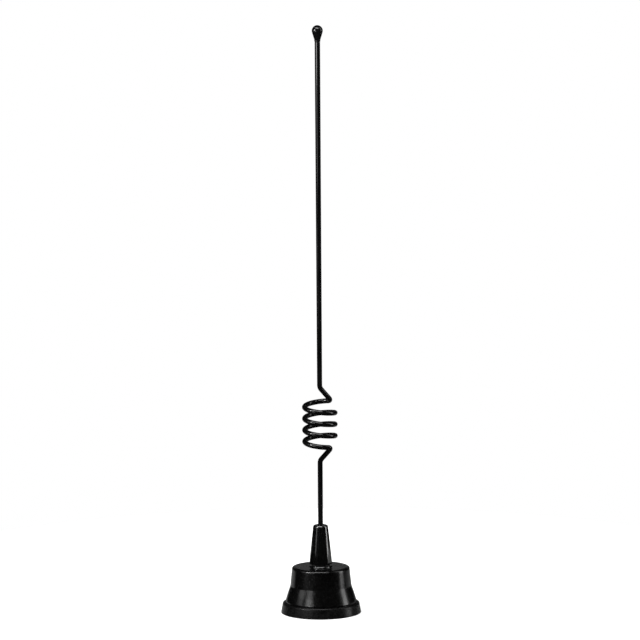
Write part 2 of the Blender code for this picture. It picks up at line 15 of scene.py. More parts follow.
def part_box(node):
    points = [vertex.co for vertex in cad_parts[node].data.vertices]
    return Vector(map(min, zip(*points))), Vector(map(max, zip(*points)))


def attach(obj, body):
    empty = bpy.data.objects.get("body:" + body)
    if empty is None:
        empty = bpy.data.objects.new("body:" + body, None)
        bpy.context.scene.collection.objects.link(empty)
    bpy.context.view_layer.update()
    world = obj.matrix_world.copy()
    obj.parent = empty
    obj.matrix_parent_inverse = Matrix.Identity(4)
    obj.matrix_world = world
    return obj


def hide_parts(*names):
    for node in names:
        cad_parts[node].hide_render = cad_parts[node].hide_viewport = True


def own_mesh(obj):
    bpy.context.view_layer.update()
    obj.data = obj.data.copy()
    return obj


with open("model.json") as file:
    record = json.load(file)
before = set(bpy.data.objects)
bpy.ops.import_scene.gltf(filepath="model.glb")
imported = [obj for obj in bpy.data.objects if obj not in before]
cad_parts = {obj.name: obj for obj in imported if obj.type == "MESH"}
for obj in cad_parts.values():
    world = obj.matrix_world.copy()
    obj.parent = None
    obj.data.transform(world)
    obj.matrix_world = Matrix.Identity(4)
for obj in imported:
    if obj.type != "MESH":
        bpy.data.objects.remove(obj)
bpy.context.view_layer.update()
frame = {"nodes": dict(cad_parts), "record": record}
scene = bpy.context.scene

MM = 0.001
INCH = 25.4 * MM
TURN = 2.0 * math.pi

# The whip's own shape, as in the CAD model, on the middle of the wire
COIL_RADIUS = 8.4 * MM
COIL_PITCH = 6.42 * MM
COIL_TOP = 117.6 * MM
COIL_START = math.radians(40.7)
COIL_END = math.radians(1399.3)
LEG_TOP = 126.0 * MM  # height where the upper leg would meet the axis
LEG_FOOT = 85.1 * MM  # and the lower one
ROD_BEND = 1.6 * MM  # how far the bend between rod and leg reaches
COIL_BEND = 2.4 * MM  # and the bend between leg and coil
BARE_WIRE = 1.27 * MM  # radius under the coat

# The stud's thread, 5/16-24, and the mount's, 1-1/8-18, as radii
STUD_PITCH = INCH / 24
STUD_CREST = 3.97 * MM
STUD_CORE = 3.4 * MM
NUT_ROOT = 4.3 * MM  # the ferrule's own thread on the stud
NUT_CREST = 3.75 * MM
MOUNT_PITCH = INCH / 18
MOUNT_MAJOR = 14.29 * MM
MOUNT_MINOR = 13.53 * MM

# Facets round a large piece, a small one, and the ferrule, whose flats need more
ROUND = 192
SMALL_ROUND = 96
FERRULE_ROUND = 360


# ------------------------------------------------------------------------ meshes


def shown(name, mesh, sharp=32.0):
    """A smooth-shaded object whose faces point out."""
    shape = bmesh.new()
    shape.from_mesh(mesh)
    bmesh.ops.recalc_face_normals(shape, faces=shape.faces)
    shape.to_mesh(mesh)
    shape.free()
    mesh.shade_smooth()
    mesh.set_sharp_from_angle(angle=math.radians(sharp))
    item = bpy.data.objects.new(name, mesh)
    scene.collection.objects.link(item)
    return item


def arc(centre, radius, start, end, steps):
    """Points (r, z) along an arc, both ends included."""
    angles = [start + (end - start) * step / steps for step in range(steps + 1)]
    return [(centre[0] + radius * math.cos(a), centre[1] + radius * math.sin(a)) for a in angles]


def rounded(corners, steps=8):
    """An outline (r, z) from corners (r, z) or (r, z, fillet radius)."""
    points = []
    for index, corner in enumerate(corners):
        here = Vector(corner[:2])
        if len(corner) == 2:
            points.append(tuple(here))
            continue
        before = (Vector(corners[index - 1][:2]) - here).normalized()
        after = (Vector(corners[(index + 1) % len(corners)][:2]) - here).normalized()
        half = before.angle(after) / 2
        reach = corner[2] / math.tan(half)
        centre = here + (before + after).normalized() * corner[2] / math.sin(half)
        first = here + before * reach - centre
        turn = first.angle_signed(here + after * reach - centre)
        for step in range(steps + 1):
            points.append(tuple(centre + Matrix.Rotation(-turn * step / steps, 2) @ first))
    return points


def finer(outline, longest):
    """The same outline with its long straight runs divided."""
    points = []
    for (r0, z0), (r1, z1) in zip(outline, outline[1:]):
        parts = max(1, math.ceil(math.hypot(r1 - r0, z1 - z0) / longest))
        points += [(r0 + (r1 - r0) * k / parts, z0 + (z1 - z0) * k / parts) for k in range(parts)]
    return points + [outline[-1]]


def held(outline):
    """The same outline with a point close to both ends of each long run.

    A smooth-shaded run next to a fillet would otherwise be shaded as if it were bent.
    """
    close, shortest, axis = 0.06 * MM, 0.8 * MM, 0.5 * MM
    points = []
    for (r0, z0), (r1, z1) in zip(outline, outline[1:]):
        points.append((r0, z0))
        length = math.hypot(r1 - r0, z1 - z0)
        if length > shortest:
            for own, share in ((r0, close / length), (r1, 1.0 - close / length)):
                if own > axis:
                    points.append((r0 + (r1 - r0) * share, z0 + (z1 - z0) * share))
    return points + [outline[-1]]


def lathe(name, outline, segments=ROUND, reshape=None, sharp=32.0):
    """A turned mesh. The outline is closed, or runs from the axis to the axis.

    reshape(angles, radius, height) gives the radius at each angle of one ring.
    """
    outline = held(outline)
    angles = np.arange(segments) * TURN / segments
    across, along = np.cos(angles), np.sin(angles)
    points, faces, rings = [], [], []
    for radius, height in outline:
        if radius == 0.0:
            rings.append([len(points)])
            points.append((0.0, 0.0, height))
            continue
        radii = np.full(segments, radius)
        if reshape:
            radii = reshape(angles, radius, height)
        rings.append(list(range(len(points), len(points) + segments)))
        points += list(zip(radii * across, radii * along, np.full(segments, height)))
    pairs = list(zip(rings, rings[1:]))
    if len(rings[0]) > 1:
        pairs.append((rings[-1], rings[0]))
    for lower, upper in pairs:
        for here in range(segments):
            there = (here + 1) % segments
            if len(lower) == 1:
                faces.append((lower[0], upper[there], upper[here]))
            elif len(upper) == 1:
                faces.append((lower[here], lower[there], upper[0]))
            else:
                faces.append((lower[here], lower[there], upper[there], upper[here]))
    mesh = bpy.data.meshes.new(name)
    mesh.from_pydata(points, [], faces)
    return shown(name, mesh, sharp)


def tube(name, path, radii, sides):
    """A round wire along a path, with a radius at each point and both ends closed."""
    path = [Vector(point) for point in path]
    headings = [
        (path[min(i + 1, len(path) - 1)] - path[max(i - 1, 0)]).normalized()
        for i in range(len(path))
    ]
    # the direction of the first facet, carried along the path without twist
    side = headings[0].orthogonal().normalized()
    points, rings = [], []
    for i, (centre, ahead) in enumerate(zip(path, headings)):
        if i:
            side = headings[i - 1].rotation_difference(ahead) @ side
        side = (side - side.dot(ahead) * ahead).normalized()
        other = ahead.cross(side)
        rings.append(range(len(points), len(points) + sides))
        for k in range(sides):
            angle = TURN * k / sides
            points.append(centre + (side * math.cos(angle) + other * math.sin(angle)) * radii[i])
    faces = [
        (a[k], a[(k + 1) % sides], b[(k + 1) % sides], b[k])
        for a, b in zip(rings, rings[1:]) for k in range(sides)
    ]
    faces += [tuple(rings[0]), tuple(rings[-1])]
    mesh = bpy.data.meshes.new(name)
    mesh.from_pydata(points, [], faces)
    return shown(name, mesh)


def thread_wave(phase):
    """A thread's ridge by phase in turns, from 0 in the root to 1 on the crest."""
    ridge_foot, flank = 0.40, 0.30
    away = abs((phase + 0.5) % 1.0 - 0.5)
    return np.clip((ridge_foot - away) / flank, 0.0, 1.0)


def threaded(low, high, root, crest, pitch, start):
    """A reshape function that raises a right-hand thread between two heights, fading at its ends.

    The ridges stand out from the root radius on a screw, and in from it in a hole.
    """
    near, fading = 0.02 * MM, 0.6 * pitch
    depth = crest - root

    def reshape(angles, radius, height):
        if abs(radius - root) > near or not low <= height <= high:
            return np.full(len(angles), radius)
        phase = (height - start) / pitch - angles / TURN
        fade = min(1.0, (height - low) / fading, (high - height) / fading)
        return radius + depth * fade * thread_wave(phase)

    return reshape


def hexagon(angles, half_flats, turned=0.0):
    """Radius of a hexagon at each angle, with the middle of a flat at the angle turned."""
    side = math.pi / 3
    return half_flats / np.cos((angles - turned + side / 2) % side - side / 2)


def cut(item, cutters):
    """Cuts helper objects out of a piece and removes them."""
    for cutter in cutters:
        modifier = item.modifiers.new("cut", "BOOLEAN")
        modifier.operation = "DIFFERENCE"
        modifier.object = cutter
    bpy.context.view_layer.update()
    graph = bpy.context.evaluated_depsgraph_get()
    mesh = bpy.data.meshes.new_from_object(item.evaluated_get(graph))
    item.modifiers.clear()
    item.data = mesh
    for cutter in cutters:
        bpy.data.objects.remove(cutter)
    mesh.shade_smooth()
    mesh.set_sharp_from_angle(angle=math.radians(28.0))


# --------------------------------------------------------------------- materials


class Finish:
    """A Principled material with colour, roughness and bump built from noise in object space.

    Bump heights are in metres, and a noise scale is in features per metre.
    """

    def __init__(self, name, colour, roughness, **sockets):
        self.material = bpy.data.materials.new(name)
        self.material.use_nodes = True
        self.nodes = self.material.node_tree.nodes
        self.links = self.material.node_tree.links
        self.shader = self.nodes["Principled BSDF"]
        self.shader.inputs["Base Color"].default_value = (*colour, 1.0)
        self.shader.inputs["Roughness"].default_value = roughness
        for socket, value in sockets.items():
            self.shader.inputs[socket.replace("_", " ")].default_value = value
        self.space = self.nodes.new("ShaderNodeTexCoord").outputs["Object"]
        self.normal = None

    def noise(self, scale, detail=3.0, stretch=(1.0, 1.0, 1.0)):
        """Noise, drawn out along an axis where stretch is below 1."""
        mapping = self.nodes.new("ShaderNodeMapping")
        mapping.inputs["Scale"].default_value = stretch
        self.links.new(self.space, mapping.inputs["Vector"])
        texture = self.nodes.new("ShaderNodeTexNoise")
        texture.inputs["Scale"].default_value = scale
        texture.inputs["Detail"].default_value = detail
        self.links.new(mapping.outputs["Vector"], texture.inputs["Vector"])
        return texture.outputs["Fac"]

    def cells(self, scale):
        """Rounded cells, as in a moulded grain."""
        texture = self.nodes.new("ShaderNodeTexVoronoi")
        texture.feature = "SMOOTH_F1"
        texture.inputs["Scale"].default_value = scale
        self.links.new(self.space, texture.inputs["Vector"])
        return texture.outputs["Distance"]

    def rings(self, spacing, wander):
        """Grooves round the Z axis, spaced along it, as a lathe tool leaves."""
        waves_per_unit = 3.2  # bands of the wave texture at scale 1
        texture = self.nodes.new("ShaderNodeTexWave")
        texture.bands_direction = "Z"
        texture.inputs["Scale"].default_value = 1.0 / (spacing * waves_per_unit)
        texture.inputs["Distortion"].default_value = wander
        texture.inputs["Detail"].default_value = 2.0
        self.links.new(self.space, texture.inputs["Vector"])
        return texture.outputs["Fac"]

    def spread(self, source, low, high, start=0.3, end=0.7):
        """source mapped from start..end onto low..high."""
        node = self.nodes.new("ShaderNodeMapRange")
        node.inputs["From Min"].default_value = start
        node.inputs["From Max"].default_value = end
        node.inputs["To Min"].default_value = low
        node.inputs["To Max"].default_value = high
        self.links.new(source, node.inputs["Value"])
        return node.outputs["Result"]

    def product(self, first, second):
        node = self.nodes.new("ShaderNodeMath")
        node.operation = "MULTIPLY"
        self.links.new(first, node.inputs[0])
        self.links.new(second, node.inputs[1])
        return node.outputs["Value"]

    def tint(self, source, dark, light):
        """Base colour from dark to light by a 0..1 source."""
        node = self.nodes.new("ShaderNodeMix")
        node.data_type = "RGBA"
        node.inputs["A"].default_value = (*dark, 1.0)
        node.inputs["B"].default_value = (*light, 1.0)
        self.links.new(source, node.inputs["Factor"])
        self.links.new(node.outputs["Result"], self.shader.inputs["Base Color"])

    def roughen(self, source, low, high):
        self.links.new(self.spread(source, low, high), self.shader.inputs["Roughness"])

    def bump(self, source, height):
        """Relief of that height, on top of any earlier one."""
        node = self.nodes.new("ShaderNodeBump")
        node.inputs["Distance"].default_value = height
        node.inputs["Strength"].default_value = 1.0
        self.links.new(source, node.inputs["Height"])
        if self.normal:
            self.links.new(self.normal, node.inputs["Normal"])
        self.normal = node.outputs["Normal"]
        self.links.new(self.normal, self.shader.inputs["Normal"])

    def edges(self, start, end):
        """1 on convex edges, 0 on flat or hollow places."""
        geometry = self.nodes.new("ShaderNodeNewGeometry")
        return self.spread(geometry.outputs["Pointiness"], 0.0, 1.0, start, end)


def grey(value):
    return (value, value, value)


# Each finish below gives a base look first, then its colour, its roughness and its relief.


def black_coat():
    """Sprayed black coating on spring wire: faint orange peel, dulled in places."""
    finish = Finish("black_coat", grey(0.002), 0.1, IOR=1.43)
    patches = finish.noise(260.0, 4.0, (1.0, 1.0, 0.35))
    finish.tint(finish.spread(patches, 0.0, 1.0), grey(0.001), grey(0.003))
    finish.roughen(finish.noise(700.0, 5.0), 0.05, 0.11)
    finish.bump(finish.noise(310.0, 2.0), 0.002 * MM)
    return finish.material


def black_plating():
    """Glossy black plating on turned and milled brass, rubbed thin on its edges."""
    finish = Finish("black_plating", grey(0.004), 0.1, IOR=1.92)
    edges = finish.edges(0.53, 0.60)
    patches = finish.spread(finish.noise(900.0, 5.0), 0.0, 1.0, 0.45, 0.75)
    finish.tint(finish.product(edges, patches), grey(0.0016), grey(0.035))
    finish.roughen(finish.noise(600.0, 5.0, (1.0, 1.0, 0.5)), 0.06, 0.13)
    finish.bump(finish.rings(0.11 * MM, 0.6), 0.0012 * MM)
    finish.bump(finish.noise(900.0, 3.0), 0.003 * MM)
    return finish.material


def housing_plastic():
    """Semi-gloss moulded plastic with a fine grain and handling marks."""
    finish = Finish("housing_plastic", grey(0.002), 0.2, IOR=1.5)
    finish.tint(finish.spread(finish.noise(420.0, 5.0), 0.0, 1.0), grey(0.0005), grey(0.0016))
    finish.roughen(finish.noise(1500.0, 3.0), 0.11, 0.29)
    finish.bump(finish.cells(2600.0), 0.006 * MM)
    finish.bump(finish.noise(180.0, 2.0), 0.030 * MM)
    finish.bump(finish.noise(1500.0, 3.0), 0.009 * MM)
    return finish.material


def gasket_rubber():
    """Matte moulded rubber, slightly chalky, with small pits."""
    finish = Finish("gasket_rubber", grey(0.003), 0.32, IOR=1.25)
    finish.tint(finish.spread(finish.noise(500.0, 6.0), 0.0, 1.0), grey(0.0012), grey(0.004))
    finish.roughen(finish.noise(1000.0, 3.0), 0.18, 0.38)
    finish.bump(finish.cells(1900.0), 0.014 * MM)
    finish.bump(finish.noise(6000.0, 3.0), 0.005 * MM)
    return finish.material


def seal_rubber():
    """Smooth black seal rubber."""
    finish = Finish("seal_rubber", grey(0.012), 0.5, IOR=1.5)
    finish.tint(finish.spread(finish.noise(1500.0), 0.0, 1.0), grey(0.009), grey(0.018))
    finish.roughen(finish.noise(2500.0), 0.42, 0.6)
    finish.bump(finish.noise(5000.0), 0.003 * MM)
    return finish.material


def turned_metal(name, dark, light, rough, groove=0.14 * MM):
    """Bare or plated metal with tool rings and a little tarnish."""
    finish = Finish(name, light, rough[0], Metallic=1.0)
    tarnish = finish.spread(finish.noise(500.0, 6.0), 0.0, 1.0, 0.35, 0.75)
    finish.tint(tarnish, light, dark)
    finish.roughen(finish.noise(1300.0, 5.0), *rough)
    finish.bump(finish.rings(groove, 0.4), 0.0020 * MM)
    finish.bump(finish.noise(4000.0), 0.001 * MM)
    return finish.material


def wire_metal(name, dark, light, rough):
    """Drawn wire with a thin clear coat, streaked by the die."""
    finish = Finish(name, light, rough[0], Metallic=1.0, Coat_Weight=0.3)
    finish.tint(finish.spread(finish.noise(900.0, 4.0), 0.0, 1.0), dark, light)
    finish.roughen(finish.noise(1800.0, 3.0), *rough)
    finish.bump(finish.noise(3000.0, 3.0, (1.0, 1.0, 0.2)), 0.002 * MM)
    return finish.material


def natural_plastic(name, dark, light):
    """Uncoloured moulded plastic with a soft, slightly waxy surface."""
    finish = Finish(name, light, 0.45, IOR=1.5, Subsurface_Weight=0.15)
    finish.shader.inputs["Subsurface Scale"].default_value = 0.6 * MM
    finish.tint(finish.spread(finish.noise(350.0, 6.0), 0.0, 1.0), dark, light)
    finish.roughen(finish.noise(900.0, 4.0), 0.36, 0.55)
    finish.bump(finish.cells(2200.0), 0.004 * MM)
    return finish.material


def all_finishes():
    """Every slot of the record, with its material."""
    finishes = {
        "black_coat": black_coat(),
        "black_plating": black_plating(),
        "housing_plastic": housing_plastic(),
        "gasket_rubber": gasket_rubber(),
        "rubber": seal_rubber(),
        "screw_steel": turned_metal("screw_steel", grey(0.03), grey(0.085), (0.25, 0.45), 0.5 * MM),
    }
    # name, dark colour, light colour, lowest and highest roughness
    for name, dark, light, rough in (
        ("zinc_steel", grey(0.38), (0.62, 0.62, 0.64), (0.22, 0.42)),
        ("brass", (0.42, 0.27, 0.10), (0.80, 0.59, 0.28), (0.16, 0.34)),
        ("nickel", (0.48, 0.46, 0.43), (0.72, 0.70, 0.67), (0.12, 0.28)),
    ):
        finishes[name] = turned_metal(name, dark, light, rough)
    for name, dark, light, rough in (
        ("tinned_copper", (0.48, 0.47, 0.45), (0.74, 0.74, 0.72), (0.25, 0.45)),
        ("copper_enamel", (0.42, 0.12, 0.03), (0.62, 0.24, 0.08), (0.15, 0.3)),
    ):
        finishes[name] = wire_metal(name, dark, light, rough)
    for name, dark, light in (
        ("form_plastic", (0.66, 0.62, 0.52), (0.78, 0.75, 0.67)),
        ("disc_plastic", (0.70, 0.67, 0.58), (0.82, 0.80, 0.73)),
    ):
        finishes[name] = natural_plastic(name, dark, light)
    return finishes


FINISHES = all_finishes()
SLOTS = {row["node"]: row["material_slot"] for row in frame["record"]["subparts"]}
BODY_OF = {
    node: body for body, nodes in frame["record"]["behaviour"]["bodies"].items() for node in nodes
}


def stand_in(piece, node):
    """The piece takes the CAD node's place, body and finish."""
    slot = SLOTS[node]
    piece.data.materials.clear()
    piece.data.materials.append(FINISHES[slot])
    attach(piece, BODY_OF[node])
    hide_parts(node)
    return piece


# ----------------------------------------------------------------- whip and tip


def blend(start, heading_in, end, heading_out, steps):
    """Points strictly between two ends, on a cubic that leaves and arrives on the headings."""
    fullness = 1.15  # length of the cubic's end tangents, in chords
    reach = (end - start).length * fullness
    u, v = heading_in.normalized() * reach, heading_out.normalized() * reach
    points = []
    for step in range(1, steps):
        t = step / steps
        points.append(
            start * (2 * t**3 - 3 * t**2 + 1) + u * (t**3 - 2 * t**2 + t)
            + end * (3 * t**2 - 2 * t**3) + v * (t**3 - t**2)
        )
    return points


def helix(radius, start, end, top, pitch, per_turn):
    """Points on a helix about Z that sinks by pitch each turn from height top."""
    steps = round((end - start) / TURN * per_turn)
    angles = [start + (end - start) * step / steps for step in range(steps + 1)]
    return [
        Vector((radius * math.cos(a), radius * math.sin(a), top - pitch * (a - start) / TURN))
        for a in angles
    ]


def whip_path():
    """From the upper rod's end, out along a leg, down the open coil, and back to the lower rod."""
    trim = COIL_BEND / COIL_RADIUS  # the angle of coil that each bend takes
    per_turn, rod_bend_steps, coil_bend_steps = 96, 12, 14
    coil = helix(
        COIL_RADIUS, COIL_START + trim, COIL_END - trim,
        COIL_TOP - COIL_PITCH * trim / TURN, COIL_PITCH, per_turn,
    )
    coil_foot = COIL_TOP - COIL_PITCH * (COIL_END - COIL_START) / TURN

    def leg(angle, coil_height, axis_height):
        outer = Vector((COIL_RADIUS * math.cos(angle), COIL_RADIUS * math.sin(angle), coil_height))
        inner = Vector((0.0, 0.0, axis_height))
        along = (outer - inner).normalized()
        return inner + along * ROD_BEND, outer - along * COIL_BEND, along

    down = Vector((0.0, 0.0, -1.0))
    top_in, top_out, top_along = leg(COIL_START, COIL_TOP, LEG_TOP)
    foot_in, foot_out, foot_along = leg(COIL_END, coil_foot, LEG_FOOT)
    rod_end = Vector((0.0, 0.0, LEG_TOP + ROD_BEND))
    rod_start = Vector((0.0, 0.0, LEG_FOOT - ROD_BEND))
    path = [rod_end]
    path += blend(rod_end, down, top_in, top_along, rod_bend_steps) + [top_in, top_out]
    path += blend(top_out, top_along, coil[0], coil[1] - coil[0], coil_bend_steps) + coil
    path += blend(coil[-1], coil[-1] - coil[-2], foot_out, -foot_along, coil_bend_steps)
    path += [foot_out, foot_in]
    path += blend(foot_in, -foot_along, rod_start, down, rod_bend_steps)
    return path + [rod_start]


def along_rod(top, foot, top_radius, foot_radius):
    """(height, radius) between a rod's ends, close to both, so that it shades straight."""
    shares = (0.002, 0.01, 0.05, 0.25, 0.5, 0.75, 0.95, 0.99, 0.998)
    return [(top + (foot - top) * t, top_radius + (foot_radius - top_radius) * t) for t in shares]


def make_whip():
    """One wire, bare inside the tip ball and coated from just under it down to its foot."""
    low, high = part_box("whip")
    radius, top_radius = 1.4 * MM, 1.5 * MM
    coat_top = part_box("tip_ball")[0].z - 0.15 * MM
    edge, edge_angles = 0.12 * MM, (1.4, 1.05, 0.7, 0.35, 0.0)  # rounding of the coat's edge
    upper = [(high.z, BARE_WIRE), (coat_top, BARE_WIRE)]
    upper += [
        (coat_top - edge * (1 - math.sin(a)), top_radius - edge + edge * math.cos(a))
        for a in edge_angles
    ]
    middle = whip_path()
    upper += along_rod(coat_top - edge, middle[0].z, top_radius, radius)
    lower = along_rod(middle[-1].z, low.z + edge, radius, radius)
    lower += [(low.z + edge, radius), (low.z, radius - edge)]
    path = [Vector((0.0, 0.0, height)) for height, _ in upper] + middle
    path += [Vector((0.0, 0.0, height)) for height, _ in lower]
    radii = [own for _, own in upper] + [radius] * len(middle) + [own for _, own in lower]
    stand_in(tube("whip_wire", path, radii, 40), "whip")


def make_tip_ball():
    """A ball drawn down to a neck on a tangent cone, bored for the wire."""
    low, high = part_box("tip_ball")
    ball = high.x
    centre = high.z - ball
    neck, neck_top = 1.66 * MM, low.z + 0.9 * MM
    neck_edge, neck_fillet = 0.08 * MM, 3.0 * MM
    bore, bore_end = BARE_WIRE + 0.13 * MM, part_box("whip")[1].z + 0.3 * MM
    away = math.hypot(neck, centre - neck_top)
    tangent = math.atan2(neck_top - centre, neck) + math.acos(ball / away)
    shoulder = (ball * math.cos(tangent), centre + ball * math.sin(tangent))
    outline = [(0.0, bore_end), (bore, bore_end), (bore, low.z)]
    outline += rounded([
        (bore, low.z), (neck, low.z, neck_edge), (neck, neck_top, neck_fillet), shoulder,
    ])[1:-1]
    outline += arc((0.0, centre), ball, tangent, math.pi / 2, 40)[:-1] + [(0.0, high.z)]
    stand_in(lathe("tip_ball_turned", outline, SMALL_ROUND), "tip_ball")


# ------------------------------------------------------- ferrule and its screws


def smooth_least(first, second, radius):
    """The smaller of two lengths, with the edge between them eased over radius."""
    share = np.clip(0.5 + 0.5 * (second - first) / radius, 0.0, 1.0)
    return second * (1 - share) + first * share - radius * share * (1 - share)


def screw_hole(node):
    """A cutter round a set screw, from the axis out past the ferrule's back."""
    low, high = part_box(node)
    clearance, reach, segments = 0.15 * MM, 8.0 * MM, 48
    radius = (high.z - low.z) / 2 + clearance
    outline = [(0.0, 0.0), (radius, 0.0), (radius, reach), (0.0, reach)]
    cutter = lathe("screw_hole", outline, segments)
    # turned a little on its own axis, so that none of its corners meets one of the ferrule's
    cutter.rotation_euler = (-math.pi / 2, math.radians(2.3), 0.0)
    cutter.location = (0.0, 0.0, (low.z + high.z) / 2)
    return cutter


def make_ferrule():
    """A round cone with a hexagonal foot, bored for the whip from above and tapped from below."""
    low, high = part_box("ferrule")
    foot, top = low.z, high.z
    slope, top_radius, top_fillet = 0.1073, 4.05 * MM, 1.1 * MM
    half_flats = 5.45 * MM
    turned = -math.pi / 2 + math.radians(8.0)
    bore, bore_foot, bore_edge = 1.58 * MM, foot + 10.0 * MM, 0.15 * MM
    hole, hole_top, hole_edge = NUT_ROOT, foot + 7.6 * MM, 0.2 * MM
    cone_foot = top_radius + slope * (top - foot)
    outline = [(0.0, bore_foot), (bore, bore_foot), (bore, top - bore_edge)]
    outline += [(bore + bore_edge, top)]
    wall = rounded([
        (bore + bore_edge, top), (top_radius, top, top_fillet), (cone_foot, foot, 0.12 * MM),
        (hole + hole_edge, foot),
    ], 14)[1:-1]
    outline += finer(wall, 0.16 * MM)
    outline += [(hole + hole_edge, foot), (hole, foot + hole_edge)]
    outline += finer([(hole, foot + hole_edge), (hole, hole_top)], 0.09 * MM)[1:]
    outline += [(0.0, hole_top)]
    cut_thread = threaded(
        foot + 0.3 * MM, hole_top - 0.4 * MM, hole, NUT_CREST, STUD_PITCH, STUD_PITCH / 2,
    )

    def reshape(angles, radius, height):
        if radius <= hole + 0.25 * MM and height < hole_top + 0.1 * MM:
            return cut_thread(angles, radius, height)
        radii = np.full(len(angles), radius)
        if radius < top_radius - 1.0 * MM:
            return radii
        return smooth_least(radii, hexagon(angles, half_flats, turned), 0.10 * MM)

    ferrule = lathe("ferrule_turned", outline, FERRULE_ROUND, reshape, 24.0)
    cut(ferrule, [screw_hole("set_screw_lower"), screw_hole("set_screw_upper")])
    stand_in(ferrule, "ferrule")


def make_set_screw(node):
    """A headless screw with a hexagon socket, its thread showing in its hole."""
    low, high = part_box(node)
    length = high.y - low.y
    radius = (high.z - low.z) / 2
    pitch = INCH / 40
    socket, socket_floor, socket_edge = 0.64 * MM, length - 1.3 * MM, 0.12 * MM
    chamfer, drill_point = 0.25 * MM, 0.25 * MM
    core = radius - 0.36 * MM
    outline = [(0.0, 0.0), (core - chamfer, 0.0), (core, chamfer)]
    outline += finer([(core, chamfer), (core, length - chamfer)], pitch / 14)[1:]
    outline += [
        (core - 0.5 * chamfer, length), (socket + socket_edge, length),
        (socket, length - socket_edge), (socket, socket_floor), (0.0, socket_floor - drill_point),
    ]
    cut_thread = threaded(chamfer, length - chamfer, core, radius, pitch, 0.0)

    def reshape(angles, radius, height):
        if radius == core:
            return cut_thread(angles, radius, height)
        if radius == socket:
            return hexagon(angles, socket)
        return np.full(len(angles), radius)

    screw = lathe(f"{node}_turned", outline, SMALL_ROUND, reshape, 28.0)
    screw.rotation_euler = (-math.pi / 2, 0.0, 0.0)
    screw.location = (0.0, low.y, (low.z + high.z) / 2)
    stand_in(screw, node)


def make_top_stud():
    """A stud threaded at both ends, with a flange that sits in the housing's recess."""
    low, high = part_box("top_stud")
    housing_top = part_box("housing")[1].z
    under = housing_top - 0.8 * MM
    flange, flange_top = high.x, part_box("ferrule_seal")[0].z - 0.1 * MM
    chamfer, core, step = 0.4 * MM, STUD_CORE, 0.09 * MM
    # the groove for the seal, on the flange's underside
    groove_in, groove_out, groove_top = 4.5 * MM, 5.5 * MM, under + 0.6 * MM
    outline = [(0.0, low.z), (core - chamfer, low.z), (core, low.z + chamfer)]
    outline += finer([(core, low.z + chamfer), (core, under)], step)[1:]
    outline += [
        (groove_in, under), (groove_in, groove_top), (groove_out, groove_top), (groove_out, under),
    ]
    outline += rounded([
        (groove_out, under), (flange, under, 0.1 * MM), (flange, flange_top, 0.45 * MM),
        (core, flange_top),
    ], 10)[1:-1]
    outline += finer([(core, flange_top), (core, high.z - chamfer)], step)
    outline += [(core - chamfer, high.z), (0.0, high.z)]
    ceiling = housing_top - 2.55 * MM
    lower = threaded(low.z + 0.3 * MM, ceiling, core, STUD_CREST, STUD_PITCH, 0.0)
    upper = threaded(flange_top + 0.2 * MM, high.z - chamfer, core, STUD_CREST, STUD_PITCH, 0.0)

    def reshape(angles, radius, height):
        return (upper if height > flange_top else lower)(angles, radius, height)

    stand_in(lathe("top_stud_turned", outline, ROUND, reshape, 28.0), "top_stud")


def make_ferrule_seal():
    low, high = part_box("ferrule_seal")
    bore, edge = NUT_ROOT, 0.12 * MM
    outline = rounded([
        (bore, low.z), (high.x, low.z, edge), (high.x, high.z, edge), (bore, high.z),
    ], 5)
    stand_in(lathe("ferrule_seal_ring", outline, SMALL_ROUND), "ferrule_seal")


# ------------------------------------------------------------ housing and gasket


def make_housing():
    """A bell-shaped shell: straight band at the foot, flared skirt, crease, drum and flat top."""
    low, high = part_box("housing")
    band, band_top = high.x, 6.6 * MM
    crease, crease_height = 16.93 * MM, 15.0 * MM
    rim, rim_height = 15.88 * MM, high.z - 0.35 * MM
    flat, ceiling = 14.1 * MM, high.z - 2.55 * MM
    inside, shoulder = 16.5 * MM, 11.6 * MM
    recess, recess_foot = 6.35 * MM, high.z - 0.95 * MM
    hole = 4.3 * MM
    # the skirt bulges a little between the band and the crease
    skirt = ((band + crease) / 2 + 0.06 * MM, (band_top + crease_height) / 2 + 0.02 * MM)
    outline = rounded([
        (inside, low.z), (band, low.z, 0.2 * MM), (band, band_top, 1.0 * MM),
        (*skirt, 90.0 * MM), (crease, crease_height, 0.2 * MM), (rim, rim_height, 0.95 * MM),
        (flat, high.z, 2.5 * MM), (recess, high.z, 0.1 * MM), (recess, recess_foot),
        (hole, recess_foot), (hole, ceiling), (13.9 * MM, ceiling, 1.0 * MM),
        (14.6 * MM, shoulder), (inside, shoulder),
    ], 10)
    stand_in(lathe("housing_shell", finer(outline, 0.8 * MM)), "housing")


def make_roof_gasket():
    """A rubber cup round the housing's foot."""
    low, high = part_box("roof_gasket")
    wall, floor, bore = 19.9 * MM, 1.2 * MM, 16.5 * MM
    outline = rounded([
        (bore, low.z, 0.2 * MM), (high.x, low.z, 0.15 * MM), (21.1 * MM, high.z, 1.1 * MM),
        (wall, high.z, 0.1 * MM), (wall, floor, 0.2 * MM), (bore, floor, 0.2 * MM),
    ], 10)
    stand_in(lathe("roof_gasket_moulded", finer(outline, 0.8 * MM)), "roof_gasket")


# --------------------------------------------------------------------- underside


